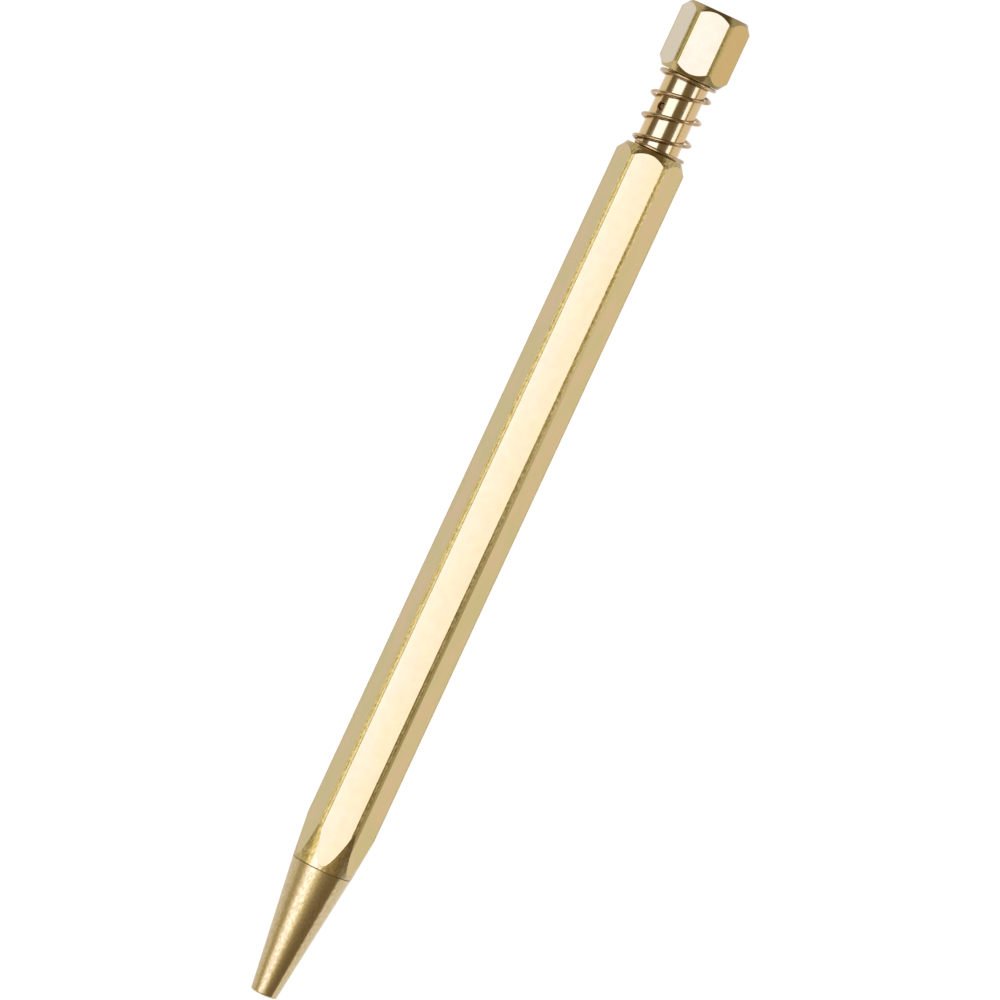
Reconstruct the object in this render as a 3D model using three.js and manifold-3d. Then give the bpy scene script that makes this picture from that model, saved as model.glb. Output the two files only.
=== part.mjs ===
import * as THREE from "three";
import { mergeVertices } from "three/addons/utils/BufferGeometryUtils.js";
import Module from "manifold-3d";

const wasm = await Module();
wasm.setup();

// A hexagonal brass ballpoint pen with a push knob, lying on one of its flats. Sizes are in millimetres.
// All pieces share one axis, which runs along +X from the writing tip to the knob. Places along it are
// counted from the front face of the nose. Each piece is drawn from its own front end.

// Refill, tip first
const refillLength = 98.5;
const refillRadius = 2.95;
const refillTubeWall = 0.35;
const ballRadius = 0.5;
const ballProud = 0.25;
const pointRimWall = 0.12;
const pointRadius = 1.15;
const pointTaperLength = 2.7;
const pointReach = 7.05;
const stemLength = 3;
const neckWall = 0.35;
const inkDuctRadius = 0.35;
const springShoulderReach = 14;
const flangeStep = 0.65;
const flangeLength = 2.5;
const refillShoulderLength = 2;
const tubeSpigotLength = 4;
const refillPlugLength = 3.95;
const inkAirSpace = 7.9;

// Fits
const seatGap = 0.05;
const slidingGap = 0.1;
const pressClearance = 0.3;
const tipRetraction = 1.2;

// Travel of the knob from rest to its stop, and the part of it that the latch holds
const knobTravel = 5.5;
const latchTravel = 4.2;

// Nose
const noseLength = 18.75;
const noseTipWall = 0.62;
const noseTipRound = 0.3;
const springSeatReach = 4.5;
const noseSpigotLength = 8;
const spigotLead = 0.3;
const threadRelief = 0.5;
const seamGap = 0.06;
const seamStep = 0.03;

// Barrel
const refillSideRoom = 0.55;
const barrelWall = 0.82;
const threadDepth = 0.2;
const barrelEdgeRound = 0.65;
const barrelFrontCut = 0.055;
const barrelFrontSlope = 0.1;
const barrelTopCut = 0.37;
const barrelTopSlope = 0.65;
const barrelTopWall = 2.1;

// Ratchet: a ribbed sleeve, a sliding crown and a turning rotor
const ratchetTeeth = 8;
const ribCount = 4;
const toothHeight = 0.8;
const crownLead = 0.25;
const sleeveWall = 0.7;
const ribHeight = 0.55;
const ribLength = 12.2;
const skirtLength = 1.5;
const skirtRelief = 0.15;
const rotorFootStep = 0.4;
const rotorFootLength = 1.2;
const rotorShaftLength = 2;
const rotorSplineLength = 4;
const pilotRadius = 1.1;
const pilotLength = 3.3;
const crownLugLength = 4.5;

// Plunger tube, its pin and its spring
const plungerExposed = 10.95;
const collarStep = 0.45;
const collarLength = 1.5;
const plungerWall = 0.6;
const pinRadius = 0.45;
const pinRecess = 0.35;
const pinDrop = 5;
const pinAngle = 54;
const shankAbovePin = 2;
const plungerSpringWire = 0.5;
const plungerSpringRoom = 0.52;
const plungerSpringTurns = 3.25;
const plungerSpringTopAngle = 18;
const plungerSpringClosed = 0.7;

// Knob
const knobLength = 9.6;
const knobProud = 0.06;
const knobEdgeRound = 0.7;
const knobCut = 0.28;
const knobSlope = 0.68;
const knobSocketDepth = 5;

// Refill spring
const refillSpringWire = 0.35;
const refillSpringTurns = 6.5;
const refillSpringTopAngle = 200;
const refillSpringClosed = 0.45;

// Facets of a spring's wire
const wireSteps = 8;
const wireSides = 5;

// Facets of turned surfaces, outside and inside
const outsideFacets = 72;
const insideFacets = 32;
const edgeFacets = 5;
const roundFacets = 4;
const toothFacets = 4;

// Radii that follow from the refill outwards
const stemRadius = pointRadius - neckWall;
const flangeRadius = pointRadius + flangeStep;
const refillTubeBore = refillRadius - refillTubeWall;
const noseHoleRadius = pointRadius + slidingGap;
const noseTipRadius = noseHoleRadius + noseTipWall;
const springChamberRadius = flangeRadius + 1.5 * slidingGap;
const noseBoreRadius = refillRadius + slidingGap;
const barrelBoreRadius = refillRadius + refillSideRoom;
const threadBoreRadius = barrelBoreRadius + threadDepth;
const barrelFlat = barrelBoreRadius + barrelWall;
const barrelFrontRadius = barrelFlat - barrelFrontCut;
const noseRearRadius = barrelFrontRadius - seamStep;
const barrelTopRadius = barrelFlat - barrelTopCut;
const knobFlat = barrelFlat + knobProud;
const sleeveRadius = barrelBoreRadius - seatGap;
const slotRadius = sleeveRadius - sleeveWall;
const ribRadius = slotRadius - ribHeight;
const splineRadius = slotRadius - slidingGap;
const camRadius = ribRadius - slidingGap;
const collarRadius = barrelBoreRadius - slidingGap;
const plungerRadius = barrelBoreRadius - collarStep;
const plungerBore = plungerRadius - plungerWall;
const shankRadius = plungerBore - seatGap;
const pinHoleRadius = pinRadius + seatGap;

// Places along the axis
const refillEnd = tipRetraction + refillLength;
const neckAt = tipRetraction + pointReach;
const flangeAt = tipRetraction + springShoulderReach;
const refillShoulderAt = flangeAt + flangeLength;
const refillTubeAt = refillShoulderAt + refillShoulderLength + seatGap;
const refillPlugAt = refillEnd - refillPlugLength;
const inkAt = refillTubeAt + tubeSpigotLength + slidingGap;
const inkEnd = refillPlugAt - tubeSpigotLength - inkAirSpace;
const noseConeAt = refillShoulderAt - knobTravel - 1.5 * slidingGap;
const rotorAt = refillEnd + seatGap;
const rotorCrownAt = rotorAt + rotorFootLength + rotorShaftLength + rotorSplineLength;
const ribEndAt = rotorCrownAt - latchTravel + seatGap;
const sleeveAt = ribEndAt - skirtLength;
const sleeveEnd = ribEndAt + ribLength;
const crownAt = rotorCrownAt + 2 * crownLead * toothHeight + seatGap;
const collarAt = sleeveEnd + pressClearance + knobTravel;
const shoulderAt = collarAt + collarLength + seatGap;
const barrelAt = noseLength + seamGap;
const barrelEnd = shoulderAt + barrelTopWall;
const knobAt = barrelEnd + plungerExposed;
const penLength = knobAt + knobLength;
const pinAt = knobAt - pinDrop;

// A closed geometry becomes a solid that can be joined and cut.
function solid(geometry) {
  const bare = new THREE.BufferGeometry();
  bare.setAttribute("position", geometry.getAttribute("position"));
  bare.setIndex(geometry.index);
  const merged = mergeVertices(bare);
  const corners = merged.index.array;
  const kept = [];
  for (let i = 0; i < corners.length; i += 3) {
    const [a, b, c] = corners.slice(i, i + 3);
    if (a !== b && b !== c && c !== a) kept.push(a, b, c);
  }
  return new wasm.Manifold(
    new wasm.Mesh({
      numProp: 3,
      vertProperties: merged.getAttribute("position").array,
      triVerts: new Uint32Array(kept),
    }),
  );
}

// A solid becomes a geometry with flat faces.
function surface(body) {
  const { vertProperties, triVerts } = body.getMesh();
  const shared = new THREE.BufferGeometry();
  shared.setAttribute("position", new THREE.BufferAttribute(vertProperties, 3));
  shared.setIndex(new THREE.BufferAttribute(triVerts, 1));
  const flat = shared.toNonIndexed();
  flat.computeVertexNormals();
  return flat;
}

// A shape turned about the axis. The profile is a list of [place, radius]: the outside runs towards +X,
// and a hollow one comes back along its bore.
function turned(profile, facets = insideFacets) {
  const [first, last] = [profile[0], profile.at(-1)];
  const hollow = first[1] > 0 && last[1] > 0;
  const points = (hollow ? [...profile, first] : profile).map(([x, r]) => new THREE.Vector2(r, x));
  return solid(new THREE.LatheGeometry(points, facets).rotateZ(-Math.PI / 2));
}

function turnedRod(start, end, radius, facets) {
  return turned([[start, 0], [start, radius], [end, radius], [end, 0]], facets);
}

function extruded(shape, start, end, curveSegments) {
  const geometry = new THREE.ExtrudeGeometry(shape, {
    depth: end - start,
    bevelEnabled: false,
    curveSegments,
  });
  return solid(geometry.rotateY(Math.PI / 2).translate(start, 0, 0));
}

// A hexagonal bar with rounded edges, one flat facing down. flat is the distance from the axis to a flat.
function hexagonBar(length, flat, edgeRound) {
  const shape = new THREE.Shape();
  const sixth = Math.PI / 3;
  const reach = (flat - edgeRound) / Math.cos(sixth / 2);
  for (let side = 0; side < 6; side += 1) {
    const corner = (side + 0.5) * sixth;
    const [x, y] = [reach * Math.cos(corner), reach * Math.sin(corner)];
    shape.absarc(x, y, edgeRound, side * sixth, (side + 1) * sixth);
  }
  return extruded(shape, 0, length, edgeFacets);
}

function cornerRadius(flat, edgeRound) {
  return (flat - edgeRound) / Math.cos(Math.PI / 6) + edgeRound;
}

// The lathe cuts both ends of a hexagonal bar to cones, which leave an arc on each flat.
function turnedEnds(length, front, rear, corner) {
  const frontLength = (corner - front.radius) / front.slope;
  const rearLength = (corner - rear.radius) / rear.slope;
  return turned(
    [
      [0, 0],
      [0, front.radius],
      [frontLength, corner],
      [length - rearLength, corner],
      [length, rear.radius],
      [length, 0],
    ],
    outsideFacets,
  );
}

// A round bar with splines: a cross-section of arcs that step between two radii.
function splinedOutline(outline, tipRadius, rootRadius, tipAngle) {
  const step = (2 * Math.PI) / ribCount;
  for (let spline = 0; spline < ribCount; spline += 1) {
    const middle = spline * step;
    const next = middle + step - tipAngle / 2;
    outline.absarc(0, 0, tipRadius, middle - tipAngle / 2, middle + tipAngle / 2);
    outline.absarc(0, 0, rootRadius, middle + tipAngle / 2, next);
  }
  return outline;
}

const slotAngle = Math.PI / ribCount;
const splineAngle = slotAngle - (2 * slidingGap) / camRadius;

function splinedBar(start, end) {
  const shape = splinedOutline(new THREE.Shape(), splineRadius, camRadius, splineAngle);
  return extruded(shape, start, end, toothFacets);
}

// A ring with a flat back at the place back and a crown of V teeth on its far side. The teeth rise from the
// place root. lead turns the crown by a share of one tooth.
function crownRing(back, root, innerRadius, outerRadius, lead) {
  const count = ratchetTeeth * toothFacets;
  const positions = [];
  const triangles = [];
  for (let i = 0; i < count; i += 1) {
    const angle = (2 * Math.PI * (i / toothFacets + lead)) / ratchetTeeth;
    const share = Math.abs(((i % toothFacets) / toothFacets) * 2 - 1);
    const front = root + toothHeight * share;
    const [y, z] = [Math.cos(angle), Math.sin(angle)];
    positions.push(back, innerRadius * y, innerRadius * z, back, outerRadius * y, outerRadius * z);
    positions.push(front, outerRadius * y, outerRadius * z, front, innerRadius * y, innerRadius * z);
    const [here, there] = [4 * i, 4 * ((i + 1) % count)];
    for (let side = 0; side < 4; side += 1) {
      const other = (side + 1) % 4;
      triangles.push(here + side, there + side, there + other);
      triangles.push(here + side, there + other, here + other);
    }
  }
  const geometry = new THREE.BufferGeometry();
  geometry.setAttribute("position", new THREE.Float32BufferAttribute(positions, 3));
  geometry.setIndex(triangles);
  return solid(geometry);
}

// The hole for the cross pin, through a piece that starts at the place start.
function pinHole(start) {
  const reach = 2 * plungerRadius;
  return turnedRod(-reach, reach, pinHoleRadius)
    .rotate([0, 0, 90])
    .rotate([pinAngle, 0, 0])
    .translate([pinAt - start, 0, 0]);
}

function makeNose() {
  const slope = (noseRearRadius - noseTipRadius) / noseLength;
  const profile = [[0, noseHoleRadius]];
  for (let i = 0; i <= roundFacets; i += 1) {
    const angle = (i / roundFacets) * (Math.PI / 2 - Math.atan(slope));
    const x = noseTipRound * (1 - Math.cos(angle));
    const r = noseTipRadius - noseTipRound * (1 - Math.sin(angle));
    profile.push([x, r]);
  }
  const spigotRadius = threadBoreRadius - seatGap;
  const end = noseLength + noseSpigotLength;
  const coneLength = noseBoreRadius - springChamberRadius;
  profile.push(
    [noseLength, noseRearRadius],
    [noseLength, spigotRadius],
    [end - spigotLead, spigotRadius],
    [end, spigotRadius - spigotLead],
    [end, noseBoreRadius],
    [noseConeAt + 2 * coneLength, noseBoreRadius],
    [noseConeAt, springChamberRadius],
    [springSeatReach, springChamberRadius],
    [springSeatReach, noseHoleRadius],
  );
  return turned(profile, outsideFacets);
}

function makeBarrel() {
  const length = barrelEnd - barrelAt;
  const threadEnd = noseLength + noseSpigotLength + threadRelief - barrelAt;
  const shoulder = shoulderAt - barrelAt;
  const bore = turned([
    [-1, 0],
    [-1, threadBoreRadius],
    [threadEnd, threadBoreRadius],
    [threadEnd + threadDepth, barrelBoreRadius],
    [shoulder, barrelBoreRadius],
    [shoulder, plungerRadius + slidingGap / 2],
    [length + 1, plungerRadius + slidingGap / 2],
    [length + 1, 0],
  ]);
  return hexagonBar(length, barrelFlat, barrelEdgeRound)
    .intersect(
      turnedEnds(
        length,
        { radius: barrelFrontRadius, slope: barrelFrontSlope },
        { radius: barrelTopRadius, slope: barrelTopSlope },
        cornerRadius(barrelFlat, barrelEdgeRound) + slidingGap,
      ),
    )
    .subtract(bore);
}

function makeKnob() {
  const end = { radius: knobFlat - knobCut, slope: knobSlope };
  const corner = cornerRadius(knobFlat, knobEdgeRound) + slidingGap;
  return hexagonBar(knobLength, knobFlat, knobEdgeRound)
    .intersect(turnedEnds(knobLength, end, end, corner))
    .subtract(turnedRod(-1, knobSocketDepth, plungerRadius + seatGap));
}

function makePlungerTube() {
  const end = knobAt + knobSocketDepth - seatGap - collarAt;
  return turned(
    [
      [0, plungerBore],
      [0, collarRadius],
      [collarLength, collarRadius],
      [collarLength, plungerRadius],
      [end, plungerRadius],
      [end, plungerBore],
    ],
    outsideFacets,
  ).subtract(pinHole(collarAt));
}

function makeCrossPin() {
  const half = plungerRadius - pinRecess;
  return turnedRod(-half, half, pinRadius);
}

function makeKnockCam() {
  const shank = collarAt - crownAt;
  const end = pinAt + shankAbovePin - crownAt;
  const pilotRoom = pilotLength + seatGap - (crownAt - rotorCrownAt);
  return splinedBar(0, crownLugLength)
    .add(
      turned([
        [0, 0],
        [0, camRadius],
        [shank, camRadius],
        [shank, shankRadius],
        [end, shankRadius],
        [end, 0],
      ]),
    )
    .subtract(crownRing(-1, 0, pilotRadius / 2, 2 * splineRadius, crownLead))
    .subtract(turnedRod(-1, pilotRoom, pilotRadius + slidingGap))
    .subtract(pinHole(crownAt));
}

function makeRotor() {
  const shaft = rotorFootLength + rotorShaftLength;
  const crown = shaft + rotorSplineLength;
  return splinedBar(shaft, crown + 2 * toothHeight)
    .intersect(crownRing(0, crown, pilotRadius / 2, 2 * splineRadius, 0))
    .add(
      turned([
        [0, 0],
        [0, camRadius + rotorFootStep],
        [rotorFootLength, camRadius + rotorFootStep],
        [rotorFootLength, camRadius],
        [shaft, camRadius],
        [shaft, pilotRadius],
        [crown + pilotLength, pilotRadius],
        [crown + pilotLength, 0],
      ]),
    );
}

function makeCamSleeve() {
  const shape = new THREE.Shape().absarc(0, 0, sleeveRadius, 0, 2 * Math.PI);
  shape.holes.push(splinedOutline(new THREE.Path(), slotRadius, ribRadius, slotAngle));
  const length = sleeveEnd - sleeveAt;
  return extruded(shape, 0, length, 2 * toothFacets).subtract(
    crownRing(-1, skirtLength, ribRadius / 2, slotRadius + skirtRelief, 0),
  );
}

function makeRefillPoint() {
  const taper = pointTaperLength;
  const rim = ballRadius + seatGap;
  const end = neckAt - seatGap - (tipRetraction + ballProud);
  return turned([
    [2 * ballRadius - ballProud + seatGap, 0],
    [2 * ballRadius - ballProud + seatGap, rim],
    [0, rim],
    [0, rim + pointRimWall],
    [taper, pointRadius],
    [end, pointRadius],
    [end, stemRadius],
    [end + stemLength, stemRadius],
    [end + stemLength, 0],
  ]);
}

function makeRefillNeck() {
  const flange = flangeAt - neckAt;
  const shoulder = flange + flangeLength;
  const tube = shoulder + refillShoulderLength;
  const socket = stemRadius + seatGap;
  return turned([
    [0, socket],
    [0, pointRadius],
    [flange, pointRadius],
    [flange, flangeRadius],
    [shoulder, flangeRadius],
    [tube, refillRadius],
    [tube, refillTubeBore - seatGap],
    [tube + tubeSpigotLength, refillTubeBore - seatGap],
    [tube + tubeSpigotLength, inkDuctRadius],
    [stemLength, inkDuctRadius],
    [stemLength, socket],
  ]);
}

function makeRefillTube() {
  const length = refillPlugAt - seatGap - refillTubeAt;
  return turned([
    [0, refillTubeBore],
    [0, refillRadius],
    [length, refillRadius],
    [length, refillTubeBore],
  ]);
}

function makeInkColumn() {
  return turnedRod(0, inkEnd - inkAt, refillTubeBore - slidingGap);
}

function makeRefillPlug() {
  return turned([
    [-tubeSpigotLength, inkDuctRadius],
    [-tubeSpigotLength, refillTubeBore - seatGap],
    [0, refillTubeBore - seatGap],
    [0, refillRadius],
    [refillPlugLength, refillRadius],
    [refillPlugLength, inkDuctRadius],
  ]);
}

// The centre line of a compression spring that fills the height between two flat seats: the closed share of
// a turn lies flat at each end, with an even pitch between. It is a right-hand helix about the axis.
function springLine({ height, radius, wire, turns, topAngle, closed }) {
  const low = wire / 2 + seatGap;
  const pitch = (height - 2 * low) / turns;
  const whole = turns + 2 * closed;
  const steps = Math.round(whole * wireSteps);
  return Array.from({ length: steps + 1 }, (_, i) => {
    const turn = (i / steps) * whole - closed;
    const angle = THREE.MathUtils.degToRad(topAngle) + (turn - turns) * 2 * Math.PI;
    const x = low + pitch * THREE.MathUtils.clamp(turn, 0, turns);
    return new THREE.Vector3(x, radius * Math.cos(angle), radius * Math.sin(angle));
  });
}

// The least distance between the surfaces of stretches of the wire that lie over half a turn apart.
function leastGap(line, wire) {
  const between = new THREE.Vector3();
  const samples = [];
  for (let i = 0; i + 1 < line.length; i += 1) {
    for (let part = 0; part < wireSteps; part += 1) {
      samples.push(between.lerpVectors(line[i], line[i + 1], part / wireSteps).clone());
    }
  }
  samples.push(line.at(-1));
  const apart = (wireSteps * wireSteps) / 2;
  let least = Infinity;
  for (let i = 0; i < samples.length; i += 1) {
    for (let j = i + apart; j < samples.length; j += 1) {
      least = Math.min(least, samples[i].distanceTo(samples[j]) - wire);
    }
  }
  return least;
}

// A round wire along a centre line, as one closed tube.
function wireAlong(line, wire) {
  const positions = [];
  const triangles = [];
  const [tangent, outward, side, point] = Array.from({ length: 4 }, () => new THREE.Vector3());
  line.forEach((centre, i) => {
    const [before, after] = [line[Math.max(i - 1, 0)], line[Math.min(i + 1, line.length - 1)]];
    tangent.subVectors(after, before).normalize();
    outward.set(0, centre.y, centre.z).addScaledVector(tangent, -tangent.dot(centre)).normalize();
    outward.addScaledVector(tangent, -tangent.dot(outward)).normalize();
    side.crossVectors(tangent, outward);
    for (let k = 0; k < wireSides; k += 1) {
      const angle = (2 * Math.PI * k) / wireSides;
      point.copy(centre).addScaledVector(outward, (wire / 2) * Math.cos(angle));
      point.addScaledVector(side, (wire / 2) * Math.sin(angle));
      positions.push(point.x, point.y, point.z);
      if (i > 0) {
        const next = (k + 1) % wireSides;
        const [here, behind] = [i * wireSides, (i - 1) * wireSides];
        triangles.push(behind + k, behind + next, here + next, behind + k, here + next, here + k);
      }
    }
  });
  const last = (line.length - 1) * wireSides;
  for (let k = 1; k + 1 < wireSides; k += 1) {
    triangles.push(0, k + 1, k, last, last + k, last + k + 1);
  }
  const geometry = new THREE.BufferGeometry();
  geometry.setAttribute("position", new THREE.Float32BufferAttribute(positions, 3));
  geometry.setIndex(triangles);
  return solid(geometry);
}

function makeSpring(name, spring) {
  const line = springLine(spring);
  console.log(`${name}: least gap to itself ${leastGap(line, spring.wire).toFixed(3)} mm`);
  return wireAlong(line, spring.wire);
}

function makePlungerSpring() {
  return makeSpring("plunger_spring", {
    height: plungerExposed,
    radius: plungerRadius + plungerSpringRoom + plungerSpringWire / 2,
    wire: plungerSpringWire,
    turns: plungerSpringTurns,
    topAngle: plungerSpringTopAngle,
    closed: plungerSpringClosed,
  });
}

function makeRefillSpring() {
  return makeSpring("refill_spring", {
    height: flangeAt - springSeatReach,
    radius: pointRadius + 1.5 * slidingGap + refillSpringWire / 2,
    wire: refillSpringWire,
    turns: refillSpringTurns,
    topAngle: refillSpringTopAngle,
    closed: refillSpringClosed,
  });
}

const brushedBrass = { color: 0xd8bd84, roughness: 0.38, metalness: 1 };
const satinBrass = { color: 0xb89a5c, roughness: 0.5, metalness: 1 };
const polishedBrass = { color: 0xd2b080, roughness: 0.18, metalness: 1 };
const springWire = { color: 0xc79a72, roughness: 0.22, metalness: 1 };
const steel = { color: 0xb9babd, roughness: 0.3, metalness: 1 };
const nickelSilver = { color: 0xc9c6b4, roughness: 0.25, metalness: 1 };
const hardenedBall = { color: 0xdcdee0, roughness: 0.1, metalness: 1 };
const acetal = { color: 0xe9e7e0, roughness: 0.55, metalness: 0 };
const darkInk = { color: 0x10142c, roughness: 0.3, metalness: 0 };

function piece(name, body, look, at) {
  const mesh = new THREE.Mesh(surface(body), new THREE.MeshStandardMaterial(look));
  mesh.name = name;
  mesh.position.x = at;
  return mesh;
}

const crossPin = piece("cross_pin", makeCrossPin(), steel, pinAt);
crossPin.rotation.set(THREE.MathUtils.degToRad(pinAngle), 0, Math.PI / 2);

const ball = new THREE.Mesh(
  new THREE.SphereGeometry(ballRadius, 4 * roundFacets, 2 * roundFacets),
  new THREE.MeshStandardMaterial(hardenedBall),
);
ball.name = "refill_ball";
ball.position.x = tipRetraction + ballRadius;

const body = new THREE.Group();
body.add(
  piece("barrel", makeBarrel(), brushedBrass, barrelAt),
  piece("cam_sleeve", makeCamSleeve(), acetal, sleeveAt),
  piece("plunger_spring", makePlungerSpring(), springWire, barrelEnd),
);

const nose = new THREE.Group();
nose.add(
  piece("nose_cone", makeNose(), satinBrass, 0),
  piece("refill_spring", makeRefillSpring(), steel, springSeatReach),
);

const plunger = new THREE.Group();
plunger.add(
  piece("push_knob", makeKnob(), brushedBrass, knobAt),
  piece("plunger_tube", makePlungerTube(), polishedBrass, collarAt),
  piece("knock_cam", makeKnockCam(), acetal, crownAt),
  crossPin,
);

const rotor = new THREE.Group();
rotor.add(piece("rotor_cam", makeRotor(), acetal, rotorAt));

const refill = new THREE.Group();
refill.add(
  ball,
  piece("refill_point", makeRefillPoint(), nickelSilver, tipRetraction + ballProud),
  piece("refill_neck", makeRefillNeck(), nickelSilver, neckAt),
  piece("refill_tube", makeRefillTube(), steel, refillTubeAt),
  piece("ink_column", makeInkColumn(), darkInk, inkAt),
  piece("refill_plug", makeRefillPlug(), acetal, refillPlugAt),
);

// The pen lies on the knob's lower flat, with the middle of its length over the origin.
const pen = new THREE.Group();
pen.add(body, nose, plunger, rotor, refill);
pen.position.set(-penLength / 2, 0, knobFlat);

const part = new THREE.Group();
part.add(pen);

export default part;
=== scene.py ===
import math

import bmesh
import bpy
from mathutils import Matrix, Vector


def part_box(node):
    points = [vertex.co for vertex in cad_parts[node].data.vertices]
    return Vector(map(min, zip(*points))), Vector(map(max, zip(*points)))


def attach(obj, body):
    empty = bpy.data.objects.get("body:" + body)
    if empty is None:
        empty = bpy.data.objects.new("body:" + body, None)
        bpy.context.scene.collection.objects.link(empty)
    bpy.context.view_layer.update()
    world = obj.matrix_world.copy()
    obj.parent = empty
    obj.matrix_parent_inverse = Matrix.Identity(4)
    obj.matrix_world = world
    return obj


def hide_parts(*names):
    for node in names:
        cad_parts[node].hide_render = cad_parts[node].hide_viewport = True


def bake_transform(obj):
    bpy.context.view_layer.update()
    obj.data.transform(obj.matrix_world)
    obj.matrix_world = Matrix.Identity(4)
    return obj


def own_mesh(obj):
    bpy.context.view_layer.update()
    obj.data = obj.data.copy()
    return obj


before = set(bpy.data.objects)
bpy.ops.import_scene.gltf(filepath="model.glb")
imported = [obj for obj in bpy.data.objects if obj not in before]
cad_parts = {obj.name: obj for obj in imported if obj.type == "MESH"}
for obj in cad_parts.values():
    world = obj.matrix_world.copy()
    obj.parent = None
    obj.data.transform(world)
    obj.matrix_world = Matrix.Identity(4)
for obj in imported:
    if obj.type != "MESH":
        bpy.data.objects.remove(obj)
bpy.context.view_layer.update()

# A hexagonal brass ballpoint pen lies on a pale floor. It runs along X, with the writing tip at -X.
# Lengths in the settings are millimetres, and mm turns them into Blender's metres.
mm = 0.001


def span(node):
    # where a piece of the CAD starts and ends along the pen
    low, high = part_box(node)
    return low.x / mm, high.x / mm


tipAt, noseEnd = span("nose_cone")
barrelAt, barrelEnd = span("barrel")
knobAt, knobEnd = span("push_knob")
barrelLow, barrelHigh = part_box("barrel")
knobLow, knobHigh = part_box("push_knob")
axisHeight = (barrelLow.z + barrelHigh.z) / 2 / mm
barrelFlat = (barrelHigh.z - barrelLow.z) / 2 / mm
knobFlat = (knobHigh.z - knobLow.z) / 2 / mm

fits = {"bore": 3.5, "tubeRadius": 3.05, "slidingGap": 0.1, "seatGap": 0.05}


# Modelling helpers

def makeActive(piece):
    bpy.ops.object.select_all(action="DESELECT")
    piece.select_set(True)
    bpy.context.view_layer.objects.active = piece


def selectAll():
    bpy.ops.mesh.select_all(action="SELECT")


def applyPlace(piece):
    makeActive(piece)
    bpy.ops.object.transform_apply(location=True, rotation=True, scale=True)


def applyModifier(piece, kind, **values):
    makeActive(piece)
    modifier = piece.modifiers.new(kind.title(), kind)
    for name, value in values.items():
        setattr(modifier, name, value)
    bpy.ops.object.modifier_apply(modifier=modifier.name)


def turnPiece(name, profile, segments):
    # one corner of a tiny plane is drawn along the profile and then spun round the pen's axis
    place, radius = profile[0]
    bpy.ops.mesh.primitive_plane_add(size=mm, location=(place * mm, 0, (axisHeight + radius) * mm))
    piece = bpy.context.object
    piece.name = piece.data.name = name
    applyPlace(piece)
    bpy.ops.object.mode_set(mode="EDIT")
    selectAll()
    bpy.ops.mesh.merge(type="CENTER")
    for (fromX, fromR), (toX, toR) in zip(profile, profile[1:]):
        step = ((toX - fromX) * mm, 0, (toR - fromR) * mm)
        bpy.ops.mesh.extrude_vertices_move(TRANSFORM_OT_translate={"value": step})
    selectAll()
    bpy.ops.mesh.spin(
        steps=segments, angle=2 * math.pi, center=(0, 0, axisHeight * mm), axis=(1, 0, 0)
    )
    selectAll()
    bpy.ops.mesh.remove_doubles(threshold=0.0005 * mm)
    bpy.ops.mesh.normals_make_consistent(inside=False)
    bpy.ops.object.mode_set(mode="OBJECT")
    return piece


def softenCorners(piece, width, segments=3, angle=25):
    # small rounds on the sharp corners of a turned piece
    applyModifier(
        piece, "BEVEL", width=width * mm, segments=segments, limit_method="ANGLE",
        angle_limit=math.radians(angle), use_clamp_overlap=True, miter_outer="MITER_ARC",
    )


def smoothBy(piece, degrees):
    makeActive(piece)
    bpy.ops.object.shade_smooth_by_angle(angle=math.radians(degrees))


def cutWith(piece, tool, operation):
    applyModifier(piece, "BOOLEAN", object=tool, operation=operation, solver="EXACT")
    bpy.data.objects.remove(tool)


def hexagonBar(name, shape):
    # bar stock: a six-sided cylinder on its side, with its long edges rounded
    length = shape["end"] - shape["start"]
    bpy.ops.mesh.primitive_cylinder_add(
        vertices=6, radius=shape["flat"] / math.cos(math.pi / 6) * mm, depth=length * mm,
        location=((shape["start"] + shape["end"]) / 2 * mm, 0, axisHeight * mm),
        rotation=(0, math.pi / 2, 0),
    )
    piece = bpy.context.object
    piece.name = piece.data.name = name
    applyPlace(piece)
    bpy.ops.object.mode_set(mode="EDIT")
    bpy.ops.mesh.select_mode(type="EDGE")
    bpy.ops.mesh.select_all(action="DESELECT")
    mesh = bmesh.from_edit_mesh(piece.data)
    for edge in mesh.edges:
        lengthwise = abs(edge.verts[0].co.x - edge.verts[1].co.x) > 0.5 * length * mm
        edge.select_set(lengthwise)
    bmesh.update_edit_mesh(piece.data)
    bpy.ops.mesh.bevel(
        offset_type="OFFSET", offset=shape["edgeRound"] * math.tan(math.pi / 6) * mm,
        segments=shape["edgeSegments"], profile=0.5, affect="EDGES", clamp_overlap=False,
    )
    bpy.ops.mesh.select_mode(type="VERT")
    bpy.ops.object.mode_set(mode="OBJECT")
    return piece


def roundedCorner(x, r, fromDirection, toDirection, size, steps=3):
    # points of a small round between two straight stretches of a profile
    corner = Vector((x, r))
    start = corner - Vector(fromDirection).normalized() * size
    end = corner + Vector(toDirection).normalized() * size
    points = []
    for i in range(steps + 1):
        t = i / steps
        points.append(tuple(start * (1 - t) ** 2 + corner * 2 * t * (1 - t) + end * t ** 2))
    return points


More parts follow.
